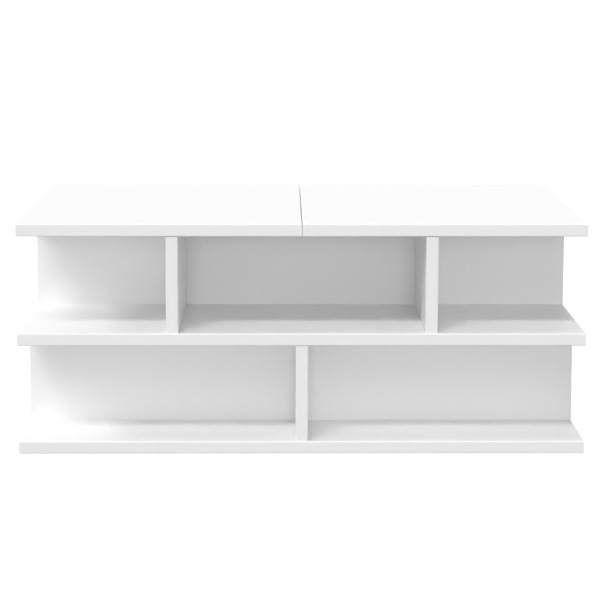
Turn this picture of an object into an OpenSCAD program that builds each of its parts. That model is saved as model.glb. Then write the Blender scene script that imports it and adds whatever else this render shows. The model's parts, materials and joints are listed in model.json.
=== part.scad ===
// Lift top coffee table: a carcass of boards with open bays on every side and a closed
// storage box at the back, under two top halves that each lift on parallelogram arms.
// +X is to the right, +Y to the back, +Z up. The origin is on the floor, under the middle.
// Everything is in millimetres.

/* [Table] */
// Width of the table, along X
table_w = 1000; // [900:10:1200]
// Depth of the table, along Y
table_d = 600; // [560:10:700]
// Height of the boards, from the bottom board's underside to the top
stack_h = 410; // [390:5:480]
// Thickness of every board
board_t = 22; // [18:1:25]
// Radius along the boards' edges
edge_r = 2; // [1:0.5:3]
// How far the standing boards stay behind the edges of the lying ones
setback = 2; // [1:0.5:8]
// Height of the glides under the bottom board
glide_h = 3; // [2:0.5:6]

/* [Bays] */
// Distance from the middle to the middle of each upper divider
upper_divider_x = 228; // [180:1:280]
// Distance from the middle to the middle of each lower panel
lower_panel_y = 128; // [110:1:160]

/* [Tops] */
// Gap between the two top halves
seam = 1; // [1:0.5:4]
// Height of the bumpers that the tops rest on
bumper_h = 0.5; // [0.5:0.5:3]

/* [Lift] */
// Angle of the arms above level when the top is down, in degrees
rest_angle = 8; // [4:1:12]
// Width of the arms
arm_w = 18; // [14:1:19]
// Distance between a front arm's pivot and the rear arm's pivot beside it
pivot_gap = 36; // [34:1:38]
// Direction of that distance below level, in degrees
pivot_slope = 40; // [36:1:44]

/* [Hardware] */
// Diameter of the wooden dowels
dowel_d = 8; // [6:1:8]
// Length of the wooden dowels
dowel_len = 30; // [25:1:35]
// Diameter of the cam locks
cam_d = 15; // [12:1:15]
// Distance from a board's edge to the middle of its cam locks
cam_setback = 34; // [24:1:34]

/* [Hidden] */
$fn = 48;

// A little extra for a cut to run past a face, and the usual fits, all on the radius
past = 1;
press_gap = 0.05;
run_gap = 0.05;
open_gap = 0.3;
side_gap = 0.2;
left = -1;
right = 1;

// Heights of the lying boards and of the bays between them
bay_h = (stack_h - 3 * board_t) / 2;
bottom_z = glide_h;
lower_z = bottom_z + board_t;
middle_z = lower_z + bay_h;
upper_z = middle_z + board_t;
top_z = upper_z + bay_h;
rim_z = top_z - bumper_h;
upper_h = rim_z - upper_z;

// Places of the standing boards
half_t = board_t / 2;
half_w = table_w / 2;
end_x = half_w - half_t;
rim_y = table_d / 2 - setback;
rear_y = rim_y - half_t;
box_front = half_t;
box_back = rear_y - half_t;
box_d = box_back - box_front;
panel_face = lower_panel_y + half_t;

// Colours
white_board = [0.93, 0.93, 0.92];
black_steel = [0.10, 0.10, 0.11];
zinc = [0.70, 0.71, 0.72];
spring_steel = [0.45, 0.46, 0.48];
beech = [0.80, 0.66, 0.45];
white_plastic = [0.95, 0.95, 0.94];
grey_plastic = [0.55, 0.55, 0.55];
clear_rubber = [0.85, 0.87, 0.88];
black_rubber = [0.06, 0.06, 0.06];

// Floor glides: a disc with a pin that is driven into the bottom board
glide_r = 11;
glide_pin_r = 2.5;
glide_pin_len = 12;
glide_inset = 40;
glide_places = [
    for (x = [-half_w + glide_inset, 0, half_w - glide_inset])
        for (s = [-1, 1]) [x, s * (table_d / 2 - glide_inset)]
];

// Bumpers on the rims of the standing boards, and how far in they are: from a divider's free
// end, from the spine panel, and from the middle and the ends of the long boards
bumper_r = 5;
bumper_free_in = 24;
bumper_spine_in = 60;
bumper_side_in = 48;
bumper_places = concat(
    [
        for (s = [-1, 1]) for (y = [-rim_y + bumper_free_in, -bumper_spine_in])
            [s * upper_divider_x, y]
    ],
    [
        for (s = [-1, 1]) for (x = [bumper_side_in, half_w - bumper_side_in])
            for (y = [0, rear_y]) [s * x, y]
    ]
);

// Dowel and cam joints. Each is [a point in the joint's plane, the way into the edge of the
// board that is joined, the way out of that board's face on the side that the cam is on].
// cam_in and dowel_in are distances from the ends of the foot of a board, joint_cam_up and
// joint_dowel_in from the ends of its upright edge.
up = [0, 0, 1];
down = [0, 0, -1];
to_back = [0, 1, 0];
to_front = [0, -1, 0];
to_right = [1, 0, 0];
cam_xs = [-0.42, -0.13, 0.13, 0.42] * table_w;
dowel_xs = [-0.36, -0.19, 0.19, 0.36] * table_w;
cam_in = 60;
dowel_in = 30;
joint_cam_up = 58;
joint_dowel_in = 26;
divider_cam_ys = [-rim_y + cam_in, -half_t - cam_in];
divider_dowel_ys = [-rim_y + dowel_in, -half_t - dowel_in];
box_cam_ys = [box_front + cam_in, box_back - cam_in];
box_dowel_ys = [box_front + dowel_in, box_back - dowel_in];
joint_z = upper_z + joint_cam_up;
joint_dowel_zs = [upper_z + joint_dowel_in, rim_z - joint_dowel_in];
foot_ys = [panel_face + dowel_in, rim_y - dowel_in];
core_ys = [-0.55, 0.55] * lower_panel_y;

middle_from_below = [
    for (s = [-1, 1]) for (x = cam_xs) [[x, s * lower_panel_y, middle_z], down, [0, -s, 0]]
];
spine_foot = [for (x = cam_xs) [[x, 0, upper_z], up, to_back]];
rear_foot = [for (x = cam_xs) [[x, rear_y, upper_z], up, to_front]];
divider_foot = [
    for (s = [-1, 1]) for (y = divider_cam_ys) [[s * upper_divider_x, y, upper_z], up, [s, 0, 0]]
];
end_foot = [for (s = [-1, 1]) for (y = box_cam_ys) [[s * end_x, y, upper_z], up, [-s, 0, 0]]];
storage_foot = [for (y = box_cam_ys) [[0, y, upper_z], up, to_right]];
spine_from_front = [
    for (s = [-1, 1]) [[s * upper_divider_x, -half_t, joint_z], to_front, [s, 0, 0]]
];
spine_from_back = concat(
    [for (s = [-1, 1]) [[s * end_x, half_t, joint_z], to_back, [-s, 0, 0]]],
    [[[0, half_t, joint_z], to_back, to_right]]
);
rear_from_front = concat(
    [for (s = [-1, 1]) [[s * end_x, box_back, joint_z], to_front, [-s, 0, 0]]],
    [[[0, box_back, joint_z], to_front, to_right]]
);
upper_foot = concat(spine_foot, rear_foot, divider_foot, end_foot, storage_foot);
upper_cams = concat(upper_foot, spine_from_front, spine_from_back, rear_from_front);

// Dowels, with the way into the board's edge
dowels_bottom = concat(
    [for (s = [-1, 1]) for (x = dowel_xs) [[x, s * lower_panel_y, lower_z], up]],
    [for (s = [-1, 1]) [[0, s * foot_ys[0], lower_z], up]],
    [[[0, 0, lower_z], up]]
);
dowels_middle_below = concat(
    [for (s = [-1, 1]) for (x = dowel_xs) [[x, s * lower_panel_y, middle_z], down]],
    [for (s = [-1, 1]) for (y = foot_ys) [[0, s * y, middle_z], down]],
    [for (y = core_ys) [[0, y, middle_z], down]]
);
dowels_middle_above = concat(
    [for (x = dowel_xs) for (y = [0, rear_y]) [[x, y, upper_z], up]],
    [for (s = [-1, 1]) for (y = divider_dowel_ys) [[s * upper_divider_x, y, upper_z], up]],
    [for (x = [-end_x, 0, end_x]) for (y = box_dowel_ys) [[x, y, upper_z], up]]
);
dowels_spine = concat(
    [for (s = [-1, 1]) for (z = joint_dowel_zs) [[s * upper_divider_x, -half_t, z], to_front]],
    [for (x = [-end_x, 0, end_x]) for (z = joint_dowel_zs) [[x, half_t, z], to_back]]
);
dowels_rear = [
    for (x = [-end_x, 0, end_x]) for (z = joint_dowel_zs) [[x, box_back, z], to_front]
];
lower_dowel_joints = concat(dowels_bottom, dowels_middle_below);
upper_dowel_joints = concat(dowels_middle_above, dowels_spine, dowels_rear);

// Screws up through the bottom board
bottom_screw_places = concat(
    [for (s = [-1, 1]) for (x = cam_xs) [x, s * lower_panel_y]],
    [for (s = [-1, 1]) [0, s * foot_ys[1]]],
    [for (y = core_ys) [0, y]]
);
bottom_screw_r = 3.5;
bottom_screw_len = 50;
bottom_screw_head_r = 5;
bottom_screw_head_h = 4;

// Dowels and cam fittings
dowel_r = dowel_d / 2;
face_depth = half_t - 1;
cam_r = cam_d / 2;
cam_h = half_t + 5;
cam_bolt_r = 3;
cam_shaft_r = 2.6;
cam_shaft_bore_r = 3.4;
cam_cover_r = cam_r + 1.5;
cam_cover_h = 0.8;

// Lift mechanism, in the Y and Z plane
sweep = 90;
arm_len = box_d - 75;
arm_t = 3;
arm_r = arm_w / 2;
arm_way = [cos(rest_angle), sin(rest_angle)];
raised_way = [cos(rest_angle + sweep), sin(rest_angle + sweep)];
raised_front = [-sin(rest_angle + sweep), cos(rest_angle + sweep)];
link = pivot_gap * [cos(pivot_slope), -sin(pivot_slope)];
front_pivot = [box_front + 35, top_z - 44];
rear_pivot = front_pivot + link;
front_top_pivot = front_pivot + arm_len * arm_way;
rear_top_pivot = front_top_pivot + link;
tie_bar_at = front_pivot + 0.5 * arm_len * arm_way;
tie_bar_r = 5;
tie_stub_r = 3.5;
spring_post_at = front_pivot + 30 * arm_way;
spring_post_r = 2.5;
pivot_r = 4;
pivot_head_r = 7;
stop_r = 3;
stop_sleeve_r = 5;
stop_at = front_pivot + 32 * raised_way + (arm_r + stop_sleeve_r + open_gap) * raised_front;

// Lift mechanism, out from the wall that each set is screwed to
plate_t = 2;
arm_d = 12;
bracket_d = 16;
bracket_t = 2;
washer_t = 0.6;
lower_head_d = arm_d + arm_t + washer_t + 2 * side_gap;
head_t = 2;
spring_start = plate_t + side_gap;
spring_end = arm_d - side_gap;
spring_r = 8;
spring_bore_r = 5.2;
spring_wire_r = 1.25;
flange_w = 30;

// Base plate outline and its screws
plate_y = [box_front + 7, box_front + 127];
plate_z = [top_z - 91, top_z - 6];
plate_corner_r = 8;
plate_screws = [
    [plate_y[0] + 12, plate_z[0] + 12],
    [plate_y[1] - 12, plate_z[0] + 12],
    [plate_y[1] - 12, plate_z[1] - 12],
    [plate_y[0] + 58, plate_z[1] - 12]
];
plate_slot = [[plate_y[1] - 36, plate_z[0] + 20], [plate_y[1] - 12, plate_z[0] + 42]];

// Bracket outline and its screws
bracket_y = [front_top_pivot[0] - 70, rear_top_pivot[0] + 10];
bracket_r = 11;
bracket_screw_ys = [bracket_y[0] + 12, bracket_y[1] - 12];
bracket_screw_ds = [bracket_d + 10, bracket_d + flange_w - 8];

// Small screws: shank, length in the board, head
small_screw_r = 1.75;
small_screw_len = 14;
small_head_r = 3.6;
small_head_h = 2.2;

// The walls that carry a lift set: [side, place, wall's face, way out of it]
sets = [
    ["left", "outer", -half_w + board_t, 1],
    ["left", "inner", -half_t, -1],
    ["right", "inner", half_t, 1],
    ["right", "outer", half_w - board_t, -1]
];

// ---- General shapes ----

// Stands what is drawn in X and Y up in the Y and Z plane, so that its height runs along X
module along_x() {
    rotate([90, 0, 90]) children();
}

// Stands what is drawn in X and Y up in the X and Z plane, so that its height runs along Y
module along_y() {
    rotate([90, 0, 0]) mirror([0, 0, 1]) children();
}

// Turns +Z to the way given
module facing(way) {
    if (way[2] != 0) rotate([way[2] < 0 ? 180 : 0, 0, 0]) children();
    if (way[1] != 0) rotate([-90 * way[1], 0, 0]) children();
    if (way[0] != 0) rotate([0, 90 * way[0], 0]) children();
}

// A rectangle with its four corners rounded, centred
module rounded_rectangle(w, h, r) {
    square([w - 2 * r, h], center = true);
    square([w, h - 2 * r], center = true);
    for (sx = [-1, 1]) {
        for (sy = [-1, 1]) {
            translate([sx * (w / 2 - r), sy * (h / 2 - r)]) circle(r);
        }
    }
}

// A straight slot with round ends, from one point to another
module slot(from, to, r) {
    run = to - from;
    translate(from) circle(r);
    translate(to) circle(r);
    translate(from) rotate(atan2(run[1], run[0])) translate([0, -r]) square([norm(run), 2 * r]);
}

// A lying board with all its long edges rounded, centred on X and Y, from z up
module lying_board(w, d, z) {
    translate([0, 0, z + half_t]) {
        intersection() {
            along_x() linear_extrude(w, center = true) rounded_rectangle(d, board_t, edge_r);
            along_y() linear_extrude(d, center = true) rounded_rectangle(w, board_t, edge_r);
        }
    }
}

// A standing board that runs the whole width, with its four upright edges rounded
module wide_panel(y, z, h) {
    translate([0, y, z]) linear_extrude(h) rounded_rectangle(table_w, board_t, edge_r);
}

// A standing board that runs from a rounded free edge at free_y to a square edge at joint_y
module divider_board(x, free_y, joint_y, z, h) {
    way = free_y < joint_y ? 1 : -1;
    run = abs(joint_y - free_y);
    translate([x, free_y, z]) {
        linear_extrude(h) {
            scale([1, way]) {
                translate([-half_t, edge_r]) square([board_t, run - edge_r]);
                translate([-half_t + edge_r, 0]) square([board_t - 2 * edge_r, run]);
                for (s = [-1, 1]) translate([s * (half_t - edge_r), edge_r]) circle(edge_r);
            }
        }
    }
}

// A standing board with square edges between two others
module inner_panel(x, from_y, to_y, z, h) {
    translate([x - half_t, from_y, z]) cube([board_t, to_y - from_y, h]);
}

// ---- Joint fittings ----

// Places a fitting: +Z goes into the joined board's edge, +X comes out on the cam's side
module at_joint(j) {
    way = j[1];
    side = len(j) > 2 ? j[2] : [0, 0, 0];
    across = cross(way, side);
    m = [
        [side[0], across[0], way[0], j[0][0]],
        [side[1], across[1], way[1], j[0][1]],
        [side[2], across[2], way[2], j[0][2]],
        [0, 0, 0, 1]
    ];
    multmatrix(m) children();
}

module at_dowel(j) {
    translate(j[0]) facing(j[1]) children();
}

module dowel_bores(joints) {
    for (j = joints) {
        at_dowel(j) {
            translate([0, 0, -face_depth]) cylinder(h = dowel_len, r = dowel_r + press_gap);
        }
    }
}

// A grooved dowel with tapered ends
module dowel(j) {
    chamfer = 1.2;
    at_dowel(j) {
        translate([0, 0, -face_depth + side_gap]) {
            rotate_extrude() {
                polygon([
                    [0, 0],
                    [dowel_r - chamfer, 0],
                    [dowel_r, chamfer],
                    [dowel_r, dowel_len - 2 * side_gap - chamfer],
                    [dowel_r - chamfer, dowel_len - 2 * side_gap],
                    [0, dowel_len - 2 * side_gap]
                ]);
            }
        }
    }
}

// The bore in the face of a board that takes a cam bolt's thread
module bolt_bores(joints) {
    for (j = joints) {
        at_joint(j) {
            translate([0, 0, -face_depth]) cylinder(h = face_depth + past, r = cam_bolt_r + press_gap);
        }
    }
}

// The bores in the joined board: the bolt's from its edge and the cam's from its face
module cam_bores(joints) {
    for (j = joints) {
        at_joint(j) {
            translate([0, 0, -past]) cylinder(h = cam_setback + past, r = cam_shaft_bore_r);
            translate([half_t - cam_h, 0, cam_setback]) {
                rotate([0, 90, 0]) cylinder(h = cam_h + past, r = cam_r);
            }
        }
    }
}

// A bolt with its thread in the board's face, a collar, a shaft and a head for the cam
module cam_bolt(j) {
    collar_h = 2;
    neck_r = 1.8;
    head_h = 3;
    at_joint(j) {
        rotate_extrude() {
            polygon([
                [0, -face_depth + side_gap],
                [cam_bolt_r, -face_depth + side_gap],
                [cam_bolt_r, collar_h],
                [cam_shaft_r, collar_h],
                [cam_shaft_r, cam_setback - head_h - 1],
                [neck_r, cam_setback - head_h],
                [neck_r, cam_setback - 1],
                [cam_shaft_r, cam_setback - 1],
                [cam_shaft_r, cam_setback + 1],
                [0, cam_setback + 1]
            ]);
        }
    }
}

// A cam with a cross recess in its face and a hollow that takes the bolt's head
module cam_lock(j) {
    recess_w = 1.6;
    recess_l = 8;
    recess_h = 2.5;
    rim = side_gap;
    at_joint(j) {
        translate([half_t - cam_h + rim, 0, cam_setback]) {
            difference() {
                rotate([0, 90, 0]) cylinder(h = cam_h - 2 * rim, r = cam_r - 0.1);
                translate([cam_h - half_t - rim, 0, -cam_r - past]) {
                    cylinder(h = cam_r + past + 4, r = cam_shaft_bore_r);
                }
                for (a = [0, 90]) {
                    rotate([a, 0, 0]) {
                        translate([cam_h - 2 * rim - recess_h, -recess_l / 2, -recess_w / 2]) {
                            cube([recess_h + past, recess_l, recess_w]);
                        }
                    }
                }
            }
        }
    }
}

// A thin cap on the board's face over the cam
module cam_cover(j) {
    edge = 0.3;
    at_joint(j) {
        translate([half_t, 0, cam_setback]) {
            rotate([0, 90, 0]) {
                rotate_extrude() {
                    polygon([
                        [0, 0],
                        [cam_cover_r, 0],
                        [cam_cover_r, cam_cover_h - edge],
                        [cam_cover_r - edge, cam_cover_h],
                        [0, cam_cover_h]
                    ]);
                }
            }
        }
    }
}

module bottom_screw_outline(gap, below) {
    polygon([
        [0, -below],
        [bottom_screw_head_r + gap, -below],
        [bottom_screw_head_r + gap, bottom_screw_head_h],
        [bottom_screw_r + gap, bottom_screw_head_h + 1.5],
        [bottom_screw_r + gap, bottom_screw_len + gap],
        [0, bottom_screw_len + gap]
    ]);
}

module bottom_screw_bores() {
    for (p = bottom_screw_places) {
        translate([p[0], p[1], bottom_z]) rotate_extrude() bottom_screw_outline(press_gap, past);
    }
}

module bottom_screw(p) {
    sunk = 0.5;
    socket_r = 2.4;
    socket_h = 3;
    translate([p[0], p[1], bottom_z]) {
        difference() {
            rotate_extrude() bottom_screw_outline(0, -sunk);
            translate([0, 0, sunk - past]) cylinder(h = socket_h + past, r = socket_r, $fn = 6);
        }
    }
}

module glide_bores() {
    for (p = glide_places) {
        translate([p[0], p[1], bottom_z]) {
            translate([0, 0, -past]) cylinder(h = glide_pin_len + past, r = glide_pin_r + press_gap);
        }
    }
}

// A screw with a rounded head that sits on a face at z = 0 and goes in along -Z
module small_screw(plate) {
    slot_w = 0.9;
    slot_l = 4;
    slot_h = 1.1;
    difference() {
        union() {
            translate([0, 0, -small_screw_len - plate]) {
                cylinder(h = small_screw_len + plate + 0.5, r = small_screw_r);
            }
            rotate_extrude() {
                polygon([
                    [0, 0],
                    [small_head_r, 0],
                    [small_head_r, 0.5 * small_head_h],
                    [0.7 * small_head_r, small_head_h],
                    [0, small_head_h]
                ]);
            }
        }
        for (a = [0, 90]) {
            rotate(a) translate([-slot_l / 2, -slot_w / 2, small_head_h - slot_h]) {
                cube([slot_l, slot_w, slot_h + past]);
            }
        }
    }
}

// ---- Lying boards ----

module bottom_board() {
    color(white_board) {
        difference() {
            lying_board(table_w, table_d, bottom_z);
            dowel_bores(dowels_bottom);
            bottom_screw_bores();
            glide_bores();
        }
    }
}

module middle_board() {
    color(white_board) {
        difference() {
            lying_board(table_w, table_d, middle_z);
            dowel_bores(concat(dowels_middle_below, dowels_middle_above));
            bolt_bores(concat(middle_from_below, upper_foot));
        }
    }
}

// ---- Standing boards under the middle board ----

module lower_panel(s) {
    color(white_board) {
        difference() {
            wide_panel(s * lower_panel_y, lower_z, bay_h);
            dowel_bores([for (j = lower_dowel_joints) if (j[0][1] * s > half_t) j]);
            cam_bores([for (j = middle_from_below) if (j[0][1] * s > 0) j]);
            bottom_screw_bores();
        }
    }
}

module lower_divider(s) {
    color(white_board) {
        difference() {
            divider_board(0, s * rim_y, s * panel_face, lower_z, bay_h);
            dowel_bores([for (j = lower_dowel_joints) if (j[0][0] == 0) j]);
            bottom_screw_bores();
        }
    }
}

module lower_core_divider() {
    free = lower_panel_y - half_t;
    color(white_board) {
        difference() {
            inner_panel(0, -free, free, lower_z, bay_h);
            dowel_bores([for (j = lower_dowel_joints) if (j[0][0] == 0) j]);
            bottom_screw_bores();
        }
    }
}

// ---- Standing boards on the middle board ----

module spine_panel() {
    color(white_board) {
        difference() {
            wide_panel(0, upper_z, upper_h);
            dowel_bores(concat([for (j = dowels_middle_above) if (j[0][1] == 0) j], dowels_spine));
            cam_bores(spine_foot);
            bolt_bores(concat(spine_from_front, spine_from_back));
        }
    }
}

module rear_panel() {
    color(white_board) {
        difference() {
            wide_panel(rear_y, upper_z, upper_h);
            dowel_bores(concat([for (j = dowels_middle_above) if (j[0][1] == rear_y) j], dowels_rear));
            cam_bores(rear_foot);
            bolt_bores(rear_from_front);
        }
    }
}

module upper_divider(s) {
    x = s * upper_divider_x;
    color(white_board) {
        difference() {
            divider_board(x, -rim_y, -half_t, upper_z, upper_h);
            dowel_bores([for (j = upper_dowel_joints) if (j[0][0] == x) j]);
            cam_bores([for (j = concat(divider_foot, spine_from_front)) if (j[0][0] == x) j]);
        }
    }
}

// A side or the middle board of the storage box, with the pilot bores for its lift plates
module box_board(x) {
    color(white_board) {
        difference() {
            inner_panel(x, box_front, box_back, upper_z, upper_h);
            dowel_bores([for (j = upper_dowel_joints) if (j[0][0] == x) j]);
            cam_bores([
                for (j = concat(end_foot, storage_foot, spine_from_back, rear_from_front))
                    if (j[0][0] == x) j
            ]);
            depth = x == 0 ? half_t - 0.5 : small_screw_len;
            for (s = sets) {
                if (abs(s[2] - x) < board_t) plate_screw_bores(s, depth);
            }
        }
    }
}

module plate_screw_bores(s, depth) {
    on_wall(s) {
        for (p = plate_screws) {
            translate([-depth - side_gap, p[0], p[1]]) {
                rotate([0, 90, 0]) cylinder(h = depth + side_gap + past, r = small_screw_r + press_gap);
            }
        }
    }
}

// ---- Lift sets ----

// Places a shape whose X is the distance out from a wall
module on_wall(s) {
    translate([s[2], 0, 0]) {
        if (s[3] > 0) children();
        if (s[3] < 0) mirror([1, 0, 0]) children();
    }
}

module plate_from(d, t) {
    translate([d, 0, 0]) along_x() linear_extrude(t) children();
}

module rod_at(p, d, h, r) {
    translate([d, p[0], p[1]]) rotate([0, 90, 0]) cylinder(h = h, r = r);
}

module base_plate(s) {
    w = plate_y[1] - plate_y[0];
    h = plate_z[1] - plate_z[0];
    color(black_steel) {
        on_wall(s) {
            plate_from(0, plate_t) {
                difference() {
                    translate([plate_y[0] + w / 2, plate_z[0] + h / 2]) {
                        rounded_rectangle(w, h, plate_corner_r);
                    }
                    for (p = [front_pivot, rear_pivot]) translate(p) circle(pivot_r + press_gap);
                    for (p = plate_screws) translate(p) circle(small_screw_r + 0.3);
                    translate(stop_at) circle(stop_r + press_gap);
                    slot(plate_slot[0], plate_slot[1], 6);
                }
            }
        }
    }
}

module base_plate_screws() {
    color(zinc) {
        for (s = sets) {
            on_wall(s) {
                for (p = plate_screws) {
                    translate([plate_t, p[0], p[1]]) rotate([0, 90, 0]) wall_screw(s);
                }
            }
        }
    }
}

// The middle board takes a shorter screw from each side
module wall_screw(s) {
    short = s[1] == "inner" ? small_screw_len - half_t + 1 : 0;
    difference() {
        small_screw(plate_t);
        translate([0, 0, -small_screw_len - plate_t - past]) {
            cylinder(h = short + past, r = small_screw_r + past);
        }
    }
}

module lower_pivot_pins() {
    color(zinc) {
        for (s = sets) {
            on_wall(s) {
                for (p = [front_pivot, rear_pivot]) {
                    rod_at(p, side_gap, lower_head_d - side_gap, pivot_r);
                    rod_at(p, lower_head_d, head_t, pivot_head_r);
                }
            }
        }
    }
}

module lower_pivot_washers() {
    color(zinc) {
        for (s = sets) {
            on_wall(s) {
                for (p = [front_pivot, rear_pivot]) washer_at(p, arm_d + arm_t + side_gap);
            }
        }
    }
}

module washer_at(p, d) {
    plate_from(d, washer_t) {
        translate(p) {
            difference() {
                circle(pivot_head_r + 1);
                circle(pivot_r + press_gap);
            }
        }
    }
}

// Sleeves that hold the rear arms out from the base plates, as the springs do for the front ones
module pivot_spacers() {
    color(zinc) {
        for (s = sets) {
            on_wall(s) {
                plate_from(plate_t, arm_d - plate_t - side_gap) {
                    translate(rear_pivot) {
                        difference() {
                            circle(pivot_head_r);
                            circle(pivot_r + press_gap);
                        }
                    }
                }
            }
        }
    }
}

module stop_pins() {
    color(zinc) {
        for (s = sets) {
            on_wall(s) {
                rod_at(stop_at, side_gap, arm_d + arm_t + 1, stop_r);
                rod_at(stop_at, arm_d + arm_t + 1, 1.5, stop_r + 1.5);
            }
        }
    }
}

module stop_sleeves() {
    color(black_rubber) {
        for (s = sets) {
            on_wall(s) {
                plate_from(plate_t + side_gap, arm_d + arm_t + 0.6 - plate_t) {
                    translate(stop_at) {
                        difference() {
                            circle(stop_sleeve_r);
                            circle(stop_r + press_gap);
                        }
                    }
                }
            }
        }
    }
}

// A coil's envelope round the front pivot, with the leg that bears on the rear pivot's sleeve.
// The leg leaves the coil at a slight tilt, so that it lies on the sleeve and not in it.
module lift_spring(s) {
    coil_d = spring_end - spring_start;
    coil_r = (spring_r + spring_bore_r) / 2;
    leg_d = spring_start + spring_wire_r + 0.1;
    leg_off = pivot_head_r + spring_wire_r + side_gap;
    leg_slope = pivot_slope - asin((leg_off - coil_r) / pivot_gap);
    leg_from = front_pivot + coil_r * [sin(leg_slope), cos(leg_slope)];
    leg_len = pivot_gap + 6;
    on_wall(s) {
        difference() {
            union() {
                rod_at(front_pivot, spring_start, coil_d, spring_r);
                translate([leg_d, leg_from[0], leg_from[1]]) {
                    rotate([-90 - leg_slope, 0, 0]) cylinder(h = leg_len, r = spring_wire_r);
                }
            }
            rod_at(front_pivot, spring_start - past, coil_d + 2 * past, spring_bore_r);
        }
    }
}

module lift_springs(side) {
    color(spring_steel) {
        for (s = sets) {
            if (s[0] == side) lift_spring(s);
        }
    }
}

module lift_arm_outline(from, to, lower_r, upper_r) {
    difference() {
        slot(from, to, arm_r);
        translate(from) circle(lower_r);
        translate(to) circle(upper_r);
    }
}

module front_arm(side, place) {
    color(black_steel) {
        for (s = sets) {
            if (s[0] == side && s[1] == place) {
                on_wall(s) {
                    plate_from(arm_d, arm_t) {
                        difference() {
                            lift_arm_outline(
                                front_pivot, front_top_pivot, pivot_r + run_gap, pivot_r + run_gap
                            );
                            translate(tie_bar_at) circle(tie_stub_r + press_gap);
                        }
                    }
                    rod_at(spring_post_at, arm_d - 4, 4 + past, spring_post_r);
                }
            }
        }
    }
}

module rear_arm(side, place) {
    color(black_steel) {
        for (s = sets) {
            if (s[0] == side && s[1] == place) {
                on_wall(s) {
                    plate_from(arm_d, arm_t) {
                        lift_arm_outline(
                            rear_pivot, rear_top_pivot, pivot_r + run_gap, pivot_r + open_gap
                        );
                    }
                }
            }
        }
    }
}

// The bar that ties a half's two front arms together, riveted outside them
module tie_bar(side) {
    s = side == "left" ? left : right;
    inner = half_t + arm_d;
    outer = half_w - board_t - arm_d;
    rivet_t = 1.5;
    color(zinc) {
        translate([s * (inner + outer) / 2, tie_bar_at[0], tie_bar_at[1]]) {
            rotate([0, 90, 0]) {
                cylinder(h = outer - inner - 2 * arm_t, r = tie_bar_r, center = true);
                cylinder(h = outer - inner, r = tie_stub_r, center = true);
                for (e = [-1, 1]) {
                    translate([0, 0, e * (outer - inner + rivet_t) / 2]) {
                        cylinder(h = rivet_t, r = tie_bar_r, center = true);
                    }
                }
            }
        }
    }
}

// ---- Tops ----

module top_panel(side) {
    s = side == "left" ? left : right;
    w = half_w - seam / 2;
    color(white_board) {
        difference() {
            translate([s * (half_w + seam / 2) / 2, 0, 0]) lying_board(w, table_d, top_z);
            for (g = sets) {
                if (g[0] == side) bracket_screw_bores(g);
            }
        }
    }
}

module bracket_screw_bores(s) {
    on_wall(s) {
        for (d = bracket_screw_ds) {
            for (y = bracket_screw_ys) {
                translate([d, y, top_z - past]) {
                    cylinder(h = small_screw_len + side_gap + past, r = small_screw_r + press_gap);
                }
            }
        }
    }
}

// An angle under the top: a flange with screws, and a web with the two upper pivots
module top_bracket(side, place) {
    flange_y = bracket_y[1] - bracket_y[0];
    web_top = top_z - bracket_t;
    color(black_steel) {
        for (s = sets) {
            if (s[0] == side && s[1] == place) {
                on_wall(s) {
                    plate_from(bracket_d, bracket_t) bracket_web();
                    difference() {
                        translate([bracket_d, bracket_y[0], web_top]) {
                            cube([flange_w, flange_y, bracket_t]);
                        }
                        for (d = bracket_screw_ds) {
                            for (y = bracket_screw_ys) {
                                translate([d, y, web_top - past]) {
                                    cylinder(h = bracket_t + 2 * past, r = small_screw_r + 0.3);
                                }
                            }
                        }
                    }
                }
            }
        }
    }
}

module bracket_web() {
    rib_h = 12;
    difference() {
        union() {
            slot(front_top_pivot, rear_top_pivot, bracket_r);
            translate([front_top_pivot[0], rear_top_pivot[1]]) {
                square([bracket_y[1] - front_top_pivot[0], top_z - rear_top_pivot[1]]);
            }
            translate([bracket_y[0], top_z - rib_h]) square([bracket_y[1] - bracket_y[0], rib_h]);
        }
        for (p = [front_top_pivot, rear_top_pivot]) translate(p) circle(pivot_r + press_gap);
    }
}

module bracket_screws(side) {
    color(zinc) {
        for (s = sets) {
            if (s[0] == side) {
                on_wall(s) {
                    for (d = bracket_screw_ds) {
                        for (y = bracket_screw_ys) {
                            translate([d, y, top_z - bracket_t]) {
                                rotate([180, 0, 0]) small_screw(bracket_t);
                            }
                        }
                    }
                }
            }
        }
    }
}

module upper_pivot_pins(side) {
    rivet_t = 1.5;
    head_d = arm_d - side_gap - head_t;
    web_out = bracket_d + bracket_t;
    stem_d = arm_d - side_gap - 1;
    color(zinc) {
        for (s = sets) {
            if (s[0] == side) {
                on_wall(s) {
                    for (p = [front_top_pivot, rear_top_pivot]) {
                        rod_at(p, head_d, head_t, pivot_head_r);
                        rod_at(p, stem_d, web_out - stem_d, pivot_r);
                        rod_at(p, web_out, rivet_t, pivot_r + 2);
                    }
                }
            }
        }
    }
}

module upper_pivot_washers(side) {
    color(zinc) {
        for (s = sets) {
            if (s[0] == side) {
                on_wall(s) {
                    for (p = [front_top_pivot, rear_top_pivot]) washer_at(p, bracket_d - washer_t);
                }
            }
        }
    }
}

// ---- Glides, bumpers and joint fittings ----

module floor_glides() {
    edge = 0.8;
    color(grey_plastic) {
        for (p = glide_places) {
            translate([p[0], p[1], 0]) {
                rotate_extrude() {
                    polygon([
                        [0, 0],
                        [glide_r - edge, 0],
                        [glide_r, edge],
                        [glide_r, glide_h],
                        [glide_pin_r, glide_h],
                        [glide_pin_r, glide_h + glide_pin_len - side_gap],
                        [0, glide_h + glide_pin_len - side_gap]
                    ]);
                }
            }
        }
    }
}

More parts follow.
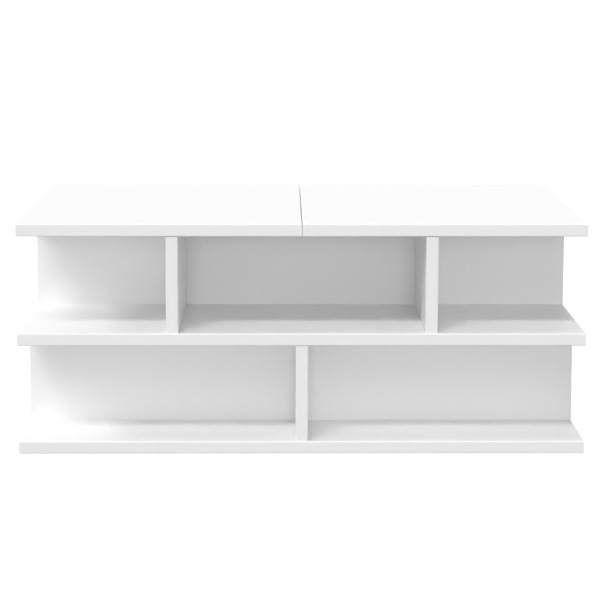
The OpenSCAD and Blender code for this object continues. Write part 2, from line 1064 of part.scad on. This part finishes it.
module top_bumpers() {
    edge = 0.4;
    color(clear_rubber) {
        for (p = bumper_places) {
            translate([p[0], p[1], rim_z]) {
                rotate_extrude() {
                    polygon([
                        [0, 0],
                        [bumper_r, 0],
                        [bumper_r, bumper_h - edge],
                        [bumper_r - edge, bumper_h],
                        [0, bumper_h]
                    ]);
                }
            }
        }
    }
}

module lower_dowels() {
    color(beech) for (j = lower_dowel_joints) dowel(j);
}

module upper_dowels() {
    color(beech) for (j = upper_dowel_joints) dowel(j);
}

module cam_bolts(joints) {
    color(zinc) for (j = joints) cam_bolt(j);
}

module cam_locks(joints) {
    color(zinc) for (j = joints) cam_lock(j);
}

module cam_covers(joints) {
    color(white_plastic) for (j = joints) cam_cover(j);
}

module bottom_screws() {
    color(zinc) for (p = bottom_screw_places) bottom_screw(p);
}

bottom_board();
middle_board();
spine_panel();
rear_panel();
upper_divider(left);  // upper_divider_left
upper_divider(right);  // upper_divider_right
box_board(0);  // storage_divider
box_board(-end_x);  // rear_end_panel_left
box_board(end_x);  // rear_end_panel_right
lower_panel(-1);  // lower_front_panel
lower_panel(1);  // lower_rear_panel
lower_divider(-1);  // lower_divider_front
lower_divider(1);  // lower_divider_rear
lower_core_divider();
floor_glides();
top_bumpers();
lower_dowels();
upper_dowels();
cam_bolts(middle_from_below);  // lower_cam_bolts
cam_bolts(upper_cams);  // upper_cam_bolts
cam_locks(middle_from_below);  // lower_cam_locks
cam_locks(upper_cams);  // upper_cam_locks
cam_covers(middle_from_below);  // lower_cam_covers
cam_covers(upper_cams);  // upper_cam_covers
bottom_screws();
base_plate(sets[0]);  // base_plate_left_outer
base_plate(sets[1]);  // base_plate_left_inner
base_plate(sets[2]);  // base_plate_right_inner
base_plate(sets[3]);  // base_plate_right_outer
base_plate_screws();
lower_pivot_pins();
lower_pivot_washers();
pivot_spacers();
stop_pins();
stop_sleeves();
lift_springs("left");  // lift_springs_left
lift_springs("right");  // lift_springs_right
front_arm("left", "outer");  // left_front_arm_outer
front_arm("left", "inner");  // left_front_arm_inner
tie_bar("left");  // left_tie_bar
rear_arm("left", "outer");  // left_rear_arm_outer
rear_arm("left", "inner");  // left_rear_arm_inner
top_panel("left");  // left_top_panel
top_bracket("left", "outer");  // left_top_bracket_outer
top_bracket("left", "inner");  // left_top_bracket_inner
bracket_screws("left");  // left_bracket_screws
upper_pivot_pins("left");  // left_upper_pivot_pins
upper_pivot_washers("left");  // left_upper_pivot_washers
front_arm("right", "outer");  // right_front_arm_outer
front_arm("right", "inner");  // right_front_arm_inner
tie_bar("right");  // right_tie_bar
rear_arm("right", "outer");  // right_rear_arm_outer
rear_arm("right", "inner");  // right_rear_arm_inner
top_panel("right");  // right_top_panel
top_bracket("right", "outer");  // right_top_bracket_outer
top_bracket("right", "inner");  // right_top_bracket_inner
bracket_screws("right");  // right_bracket_screws
upper_pivot_pins("right");  // right_upper_pivot_pins
upper_pivot_washers("right");  // right_upper_pivot_washers
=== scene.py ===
"""Looks for the lift top coffee table: camera, floor and light, procedural materials on the
packed boards and fittings, and the coiled lift springs that stand for the plain CAD sleeves."""
import json
import math

import bmesh
import bpy
from mathutils import Matrix, Vector


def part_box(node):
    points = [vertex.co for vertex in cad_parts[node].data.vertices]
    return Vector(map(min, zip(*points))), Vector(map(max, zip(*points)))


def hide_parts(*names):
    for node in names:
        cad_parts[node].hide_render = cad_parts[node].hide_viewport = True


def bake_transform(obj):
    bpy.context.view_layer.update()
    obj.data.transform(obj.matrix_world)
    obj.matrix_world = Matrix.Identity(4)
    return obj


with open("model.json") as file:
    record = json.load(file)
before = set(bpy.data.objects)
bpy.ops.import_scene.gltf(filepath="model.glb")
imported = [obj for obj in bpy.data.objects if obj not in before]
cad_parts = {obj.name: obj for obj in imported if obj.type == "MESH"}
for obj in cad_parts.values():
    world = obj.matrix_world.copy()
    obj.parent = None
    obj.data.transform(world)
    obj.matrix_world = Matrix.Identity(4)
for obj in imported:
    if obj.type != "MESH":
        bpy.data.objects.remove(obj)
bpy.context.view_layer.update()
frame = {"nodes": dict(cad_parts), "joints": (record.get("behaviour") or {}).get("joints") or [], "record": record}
nodes = frame["nodes"]
scene = bpy.context.scene
MM = 0.001

BOARDS = [
    "bottom_board", "middle_board", "spine_panel", "rear_panel",
    "upper_divider_left", "upper_divider_right", "storage_divider",
    "rear_end_panel_left", "rear_end_panel_right",
    "lower_front_panel", "lower_rear_panel",
    "lower_divider_front", "lower_divider_rear", "lower_core_divider",
    "left_top_panel", "right_top_panel",
]

# ---- Camera ----

CAMERA_PLACE = (-0.032, -3.649, 0.881)
CAMERA_PITCH = 7.535
CAMERA_YAW = 0.48
CAMERA_ROLL = 0.08
CAMERA_LENS = 116.4
CAMERA_SHIFT = -0.15


def make_camera():
    """A level-looking camera in front of the table and a little above it."""
    data = bpy.data.cameras.new("camera")
    data.sensor_width = 36
    data.lens = CAMERA_LENS
    data.shift_y = CAMERA_SHIFT
    data.clip_start = 0.05
    data.clip_end = 100
    cam = bpy.data.objects.new("camera", data)
    scene.collection.objects.link(cam)
    cam.location = CAMERA_PLACE
    turn = Matrix.Rotation(math.radians(-CAMERA_YAW), 4, "Z")
    tilt = Matrix.Rotation(math.radians(90 - CAMERA_PITCH), 4, "X")
    roll = Matrix.Rotation(math.radians(CAMERA_ROLL), 4, "Z")
    cam.rotation_euler = (turn @ tilt @ roll).to_euler()
    scene.camera = cam


# ---- Node helpers ----


class Nodes:
    """A short way to build a material's node tree, on coordinates that stay with the piece."""

    def __init__(self, name):
        self.material = bpy.data.materials.new(name)
        self.material.use_nodes = True
        self.tree = self.material.node_tree
        self.shader = self.tree.nodes["Principled BSDF"]
        self.place = self.add("ShaderNodeTexCoord").outputs["Object"]

    def add(self, kind, **settings):
        node = self.tree.nodes.new(kind)
        for key, value in settings.items():
            setattr(node, key, value)
        return node

    def link(self, source, target):
        self.tree.links.new(source, target)

    def noise(self, scale, detail=3, roughness=0.5, stretch=(1, 1, 1)):
        place = self.place
        if stretch != (1, 1, 1):
            mapping = self.add("ShaderNodeMapping")
            mapping.inputs["Scale"].default_value = stretch
            self.link(self.place, mapping.inputs["Vector"])
            place = mapping.outputs["Vector"]
        node = self.add("ShaderNodeTexNoise")
        node.inputs["Scale"].default_value = scale
        node.inputs["Detail"].default_value = detail
        node.inputs["Roughness"].default_value = roughness
        self.link(place, node.inputs["Vector"])
        return node.outputs["Fac"]

    def math(self, operation, a, b=None):
        node = self.add("ShaderNodeMath", operation=operation)
        for socket, value in zip(node.inputs, (a, b)):
            if value is None:
                continue
            if isinstance(value, (int, float)):
                socket.default_value = value
            else:
                self.link(value, socket)
        return node.outputs[0]

    def between(self, fac, low, high, to_low=0.0, to_high=1.0):
        node = self.add("ShaderNodeMapRange")
        node.inputs["From Min"].default_value = low
        node.inputs["From Max"].default_value = high
        node.inputs["To Min"].default_value = to_low
        node.inputs["To Max"].default_value = to_high
        self.link(fac, node.inputs["Value"])
        return node.outputs["Result"]

    def mix(self, fac, low, high):
        node = self.add("ShaderNodeMix", data_type="RGBA")
        self.link(fac, node.inputs["Factor"])
        for socket, value in ((node.inputs[6], low), (node.inputs[7], high)):
            if isinstance(value, tuple):
                socket.default_value = (*value, 1)
            else:
                self.link(value, socket)
        return node.outputs[2]

    def colour(self, source):
        self.link(source, self.shader.inputs["Base Color"])

    def rough(self, source):
        self.link(source, self.shader.inputs["Roughness"])

    def bump(self, height, distance, strength=1.0):
        node = self.add("ShaderNodeBump")
        node.inputs["Distance"].default_value = distance
        node.inputs["Strength"].default_value = strength
        self.link(height, node.inputs["Height"])
        self.link(node.outputs["Normal"], self.shader.inputs["Normal"])

    def set(self, **values):
        for key, value in values.items():
            self.shader.inputs[key.replace("_", " ")].default_value = value


# ---- Materials ----

WHITE_LOW = (0.910, 0.910, 0.910)
WHITE_HIGH = (0.928, 0.928, 0.927)
BAND_DEPTH = 1.0 * MM
BAND_LINE = 0.12 * MM


def melamine(node):
    """White melamine faces with a fine orange peel, and smoother bands round the board's edges."""
    low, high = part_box(node)
    size = high - low
    thin = min(range(3), key=lambda i: size[i])
    m = Nodes("melamine_" + node)
    axes = m.add("ShaderNodeSeparateXYZ")
    m.link(m.place, axes.inputs[0])
    inset = []
    for i in range(3):
        if i != thin:
            off = m.math("ABSOLUTE", m.math("SUBTRACT", axes.outputs[i], (low[i] + high[i]) / 2))
            inset.append(m.math("SUBTRACT", size[i] / 2, off))
    from_edge = m.math("MINIMUM", *inset)
    band = m.between(from_edge, BAND_DEPTH, BAND_DEPTH - BAND_LINE)
    away = m.math("ABSOLUTE", m.math("SUBTRACT", from_edge, BAND_DEPTH))
    joint = m.between(away, 0, BAND_LINE, 1, 0)
    tone = m.mix(m.noise(2.3, 4), WHITE_LOW, WHITE_HIGH)
    speck = m.mix(m.between(m.noise(900, 2), 0.62, 0.7), tone, (0.865, 0.865, 0.865))
    faded = m.mix(m.math("MULTIPLY", joint, 0.5), speck, (0.62, 0.61, 0.60))
    m.colour(faded)
    smear = m.between(m.noise(7, 5, 0.6), 0.3, 0.7, 0.36, 0.46)
    m.rough(m.math("SUBTRACT", smear, m.math("MULTIPLY", band, 0.06)))
    peel = m.noise(620, 2, 0.4)
    height = m.math("SUBTRACT", m.math("MULTIPLY", peel, 0.35), m.math("MULTIPLY", joint, 0.6))
    m.bump(height, 0.06 * MM, 0.6)
    m.set(IOR=1.47)
    return m.material


def powder_coat():
    """Black powder coat: matte, with a fine pebbled skin."""
    m = Nodes("powder_coat")
    m.colour(m.mix(m.noise(60, 4), (0.018, 0.018, 0.020), (0.034, 0.034, 0.036)))
    m.rough(m.between(m.noise(300, 3), 0.3, 0.7, 0.42, 0.58))
    m.bump(m.noise(1600, 2, 0.4), 0.08 * MM, 0.7)
    return m.material


def zinc(name, low, high, rough_low, rough_high, grain, bump):
    """Plated or cast zinc, with a cloudy tint and a fine grain."""
    m = Nodes(name)
    m.colour(m.mix(m.noise(90, 5, 0.6), low, high))
    m.rough(m.between(m.noise(240, 4, 0.6), 0.3, 0.7, rough_low, rough_high))
    m.bump(m.noise(grain, 2), 0.03 * MM, bump)
    m.set(Metallic=1.0)
    return m.material


def beech():
    """Raw beech: a straight grain with short darker flecks."""
    m = Nodes("beech")
    grain = m.noise(120, 6, 0.6, stretch=(1, 1, 0.12))
    flecks = m.between(m.noise(500, 2, stretch=(1, 1, 0.2)), 0.58, 0.66)
    wood = m.mix(grain, (0.58, 0.40, 0.23), (0.78, 0.62, 0.42))
    m.colour(m.mix(m.math("MULTIPLY", flecks, 0.5), wood, (0.40, 0.25, 0.13)))
    m.rough(m.between(grain, 0.3, 0.7, 0.62, 0.78))
    m.bump(grain, 0.15 * MM, 0.5)
    return m.material


def moulded(name, low, high, rough_low, rough_high, pebble=900):
    """Moulded plastic or rubber, with a little unevenness in tone and gloss."""
    m = Nodes(name)
    m.colour(m.mix(m.noise(40, 3), low, high))
    m.rough(m.between(m.noise(120, 3), 0.3, 0.7, rough_low, rough_high))
    m.bump(m.noise(pebble, 2), 0.04 * MM, 0.5)
    return m.material


def clear_rubber():
    """The clear soft bumpers: cloudy, and partly see-through."""
    m = Nodes("clear_rubber")
    m.colour(m.mix(m.noise(80, 3), (0.82, 0.84, 0.85), (0.90, 0.91, 0.91)))
    m.rough(m.between(m.noise(200, 2), 0.3, 0.7, 0.22, 0.34))
    m.bump(m.noise(700, 2), 0.03 * MM, 0.4)
    m.set(Transmission_Weight=0.2, IOR=1.45)
    return m.material


def dress(material, names):
    """The material in place of the plain one, on each named node."""
    for name in names:
        data = nodes[name].data
        data.materials.clear()
        data.materials.append(material)


def dress_all():
    """A melamine of its own size on each board, and a finish for each other slot in the record."""
    slot_of = {s["node"]: s["material_slot"] for s in frame["record"]["subparts"]}
    for name in BOARDS:
        dress(melamine(name), [name])
    finishes = {
        "black_steel": powder_coat(),
        "zinc_steel": zinc(
            "bright_zinc", (0.62, 0.64, 0.66), (0.70, 0.71, 0.71), 0.28, 0.36, 700, 0.3
        ),
        "cast_zinc": zinc(
            "cast_zinc", (0.42, 0.43, 0.44), (0.56, 0.56, 0.56), 0.45, 0.60, 260, 0.8
        ),
        "spring_steel": zinc(
            "spring_steel", (0.20, 0.21, 0.23), (0.34, 0.34, 0.35), 0.28, 0.42, 700, 0.3
        ),
        "beech_dowel": beech(),
        "cover_plastic": moulded(
            "cover_plastic", (0.84, 0.84, 0.84), (0.88, 0.88, 0.88), 0.40, 0.52
        ),
        "glide_plastic": moulded(
            "glide_plastic", (0.70, 0.70, 0.69), (0.78, 0.78, 0.77), 0.35, 0.50
        ),
        "clear_bumper": clear_rubber(),
        "stop_rubber": moulded(
            "stop_rubber", (0.012, 0.012, 0.012), (0.030, 0.030, 0.030), 0.70, 0.85, 500
        ),
    }
    for slot, material in finishes.items():
        dress(material, [n for n, s in slot_of.items() if s == slot])
    return finishes


# ---- Lift springs ----

SPRING_WIRE = 1.25 * MM
SPRING_COIL = 6.6 * MM
SPRING_TURNS = 3
SPRING_IN = 3.5 * MM
SPRING_OUT = 10.5 * MM
SLEEVE_RADIUS = 7 * MM
POST_RADIUS = 2.5 * MM
POST_ALONG = 30 * MM
LEG_TOUCH = 0.2 * MM
STILL_LEG = 42 * MM
MOVING_LEG = 36 * MM
POINTS_A_TURN = 36
POINTS_A_LEG = 6
WIRE_SIDES = 14
TIP_CHAMFER = 0.35  # share of the wire's radius


def joint_place(name):
    joint = next(j for j in frame["joints"] if j["name"] == name)
    return Vector(joint["pos_m"])


def polar(radius, angle):
    return Vector((0, radius * math.cos(angle), radius * math.sin(angle)))


def tube(points, radius, sides):
    """A closed round tube along the points, with a small chamfer at each end."""
    bm = bmesh.new()
    chamfer = TIP_CHAMFER * radius
    ways = [(b - a).normalized() for a, b in zip(points, points[1:])]
    ways = [ways[0]] + [(a + b).normalized() for a, b in zip(ways, ways[1:])] + [ways[-1]]
    rows = [(points[0], ways[0], radius - chamfer)]
    rows.append((points[0] + ways[0] * chamfer, ways[0], radius))
    rows += [(p, w, radius) for p, w in zip(points[1:-1], ways[1:-1])]
    rows.append((points[-1] - ways[-1] * chamfer, ways[-1], radius))
    rows.append((points[-1], ways[-1], radius - chamfer))
    side = Vector((1, 0, 0))
    rings = []
    for place, way, r in rows:
        side = (side - way * side.dot(way)).normalized()
        other = way.cross(side)
        ring = []
        for i in range(sides):
            turn = 2 * math.pi * i / sides
            ring.append(bm.verts.new(place + r * (side * math.cos(turn) + other * math.sin(turn))))
        rings.append(ring)
    for low, high in zip(rings, rings[1:]):
        for i in range(sides):
            j = (i + 1) % sides
            bm.faces.new((low[i], low[j], high[j], high[i]))
    bm.faces.new(rings[0][::-1])
    bm.faces.new(rings[-1])
    bmesh.ops.recalc_face_normals(bm, faces=bm.faces)
    return bm


def spring_points(pivot, sleeve, arm_angle, wall_x, out):
    """The wire's middle line: a leg on the rear pivot's sleeve, the coil and a leg under the arm."""
    drop = sleeve - pivot
    beside_sleeve = SLEEVE_RADIUS + SPRING_WIRE + LEG_TOUCH - SPRING_COIL
    beside_post = SPRING_COIL - POST_RADIUS - SPRING_WIRE
    still_angle = math.atan2(drop.z, drop.y) + math.asin(beside_sleeve / drop.length)
    moving_angle = arm_angle + math.asin(beside_post / POST_ALONG)
    first = still_angle + math.pi / 2
    last = moving_angle - math.pi / 2 + 2 * math.pi * SPRING_TURNS
    steps = round((last - first) / (2 * math.pi) * POINTS_A_TURN)
    start = polar(SPRING_COIL, first)
    end = polar(SPRING_COIL, last)
    legs = range(POINTS_A_LEG)
    flat = [(start + polar(STILL_LEG * (1 - i / POINTS_A_LEG), still_angle), 0) for i in legs]
    for i in range(steps + 1):
        flat.append((polar(SPRING_COIL, first + (last - first) * i / steps), i / steps))
    flat += [(end + polar(MOVING_LEG * (i + 1) / POINTS_A_LEG, moving_angle), 1) for i in legs]
    points = []
    for p, along in flat:
        off = SPRING_IN + (SPRING_OUT - SPRING_IN) * along
        points.append(Vector((wall_x + out * off, pivot.y + p.y, pivot.z + p.z)))
    return points


def make_spring(side, place, material):
    """One coiled spring, its inner leg against the rear pivot's sleeve and its outer leg under the arm."""
    plate_low, plate_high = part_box(f"base_plate_{side}_{place}")
    arm_low, arm_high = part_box(f"{side}_front_arm_{place}")
    out = 1 if arm_low.x + arm_high.x > plate_low.x + plate_high.x else -1
    wall_x = plate_low.x if out > 0 else plate_high.x
    pivot = joint_place(f"{side}_lift")
    far = joint_place(f"{side}_top_level")
    sleeve_low, sleeve_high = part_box("pivot_spacers")
    sleeve = (sleeve_low + sleeve_high) / 2
    pivot.x = sleeve.x = far.x = 0
    arm_angle = math.atan2(far.z - pivot.z, far.y - pivot.y)
    bm = tube(spring_points(pivot, sleeve, arm_angle, wall_x, out), SPRING_WIRE, WIRE_SIDES)
    mesh = bpy.data.meshes.new(f"lift_spring_{side}_{place}")
    bm.to_mesh(mesh)
    bm.free()
    mesh.shade_smooth()
    mesh.materials.append(material)
    spring = bpy.data.objects.new(mesh.name, mesh)
    scene.collection.objects.link(spring)
    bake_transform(spring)
    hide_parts(f"lift_springs_{side}")


# ---- Floor and light ----

FLOOR_SIZE = 120
FLOOR_GLOW = 0.93
SKY_RADIUS = 55
SKY_GLOW = 1.0
WORLD_STRENGTH = 0.33
SUN_DISTANCE = 4

# Name, degrees from the front towards the right, degrees above the floor, width in degrees and
# strength.
# The five keys stand in for one long strip light, from the front round to the left.
SUNS = [
    ("key_1", -8, 54, 8, 0.16),
    ("key_2", -19, 53, 8, 0.34),
    ("key_3", -29, 50, 8, 0.42),
    ("key_4", -38, 48, 10, 0.26),
    ("key_5", -50, 44, 12, 0.20),
    ("left", -88, 46, 14, 1.00),
    ("left_high", -88, 60, 14, 0.12),
    ("front", 0, 33, 20, 0.23),
    ("front_low", 0, 8, 15, 0.45),
    ("right_front", 45, 20, 40, 0.18),
]


def make_floor():
    """A pale floor, lit from within like a light table, that casts no light on the object."""
    bpy.ops.mesh.primitive_plane_add(size=FLOOR_SIZE, location=(0, 0, 0))
    floor = bpy.context.object
    floor.name = "floor"
    m = Nodes("floor")
    m.colour(m.mix(m.noise(1.5, 3), (0.21, 0.21, 0.21), (0.23, 0.23, 0.23)))
    m.rough(m.between(m.noise(3, 2), 0.3, 0.7, 0.75, 0.85))
    m.set(Specular_IOR_Level=0.1, Emission_Color=(1, 1, 1, 1), Emission_Strength=FLOOR_GLOW)
    floor.data.materials.append(m.material)
    floor.visible_diffuse = False


def make_sky():
    """A white dome behind everything, which the camera sees and glossy surfaces mirror."""
    bpy.ops.mesh.primitive_uv_sphere_add(radius=SKY_RADIUS, location=(0, 0, 0))
    sky = bpy.context.object
    sky.name = "sky"
    m = Nodes("sky")
    m.set(Base_Color=(0, 0, 0, 1), Emission_Color=(1, 1, 1, 1), Emission_Strength=SKY_GLOW)
    sky.data.materials.append(m.material)
    sky.visible_diffuse = False
    sky.visible_transmission = False
    sky.visible_shadow = False


def make_light():
    """A dim even sky, a strip of keys, a strong light from the left and weaker ones in front."""
    world = bpy.data.worlds.new("studio")
    scene.world = world
    world.use_nodes = True
    back = world.node_tree.nodes["Background"]
    back.inputs["Color"].default_value = (1, 1, 1, 1)
    back.inputs["Strength"].default_value = WORLD_STRENGTH
    for name, azimuth, elevation, width, strength in SUNS:
        data = bpy.data.lights.new(name, "SUN")
        data.energy = strength
        data.angle = math.radians(width)
        lamp = bpy.data.objects.new(name, data)
        scene.collection.objects.link(lamp)
        a, e = math.radians(azimuth), math.radians(elevation)
        place = Vector((math.sin(a) * math.cos(e), -math.cos(a) * math.cos(e), math.sin(e)))
        lamp.location = place * SUN_DISTANCE
        lamp.rotation_euler = (-place).to_track_quat("-Z", "Y").to_euler()
    scene.view_settings.view_transform = "Standard"
    scene.view_settings.look = "None"
    scene.view_settings.exposure = 0
    scene.view_settings.gamma = 1


make_camera()
make_floor()
make_sky()
make_light()
finishes = dress_all()
for side in ("left", "right"):
    for place in ("outer", "inner"):
        make_spring(side, place, finishes["spring_steel"])
